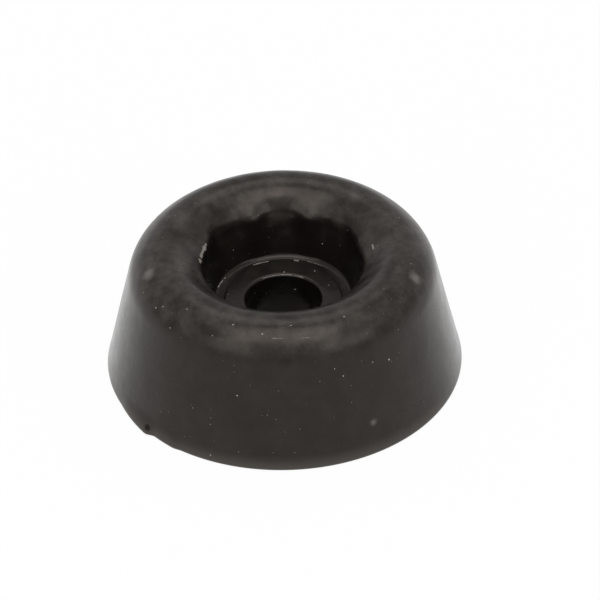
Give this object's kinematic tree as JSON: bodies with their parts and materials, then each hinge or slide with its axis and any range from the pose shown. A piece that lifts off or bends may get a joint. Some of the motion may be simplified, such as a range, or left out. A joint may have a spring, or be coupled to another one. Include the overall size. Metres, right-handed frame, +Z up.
{
  "type": "rubber foot",
  "caption": "Tapered black rubber foot with a rolled, dished rim and a recessed screw hole through its floor.",
  "frame": {"origin": "centre of the wide flat face, on the axis of the screw hole, where the foot lies on a bench", "axes": "+Z up along the axis of the foot, from the flat face towards the rim and the mouth of the recess"},
  "size_m": [0.0254, 0.0254, 0.0102],
  "materials": {
    "rubber": "moulded satin black, slightly brown"
  },
  "bodies": {
    "root": {"rubber_foot": "rubber"}
  },
  "joints": []
}
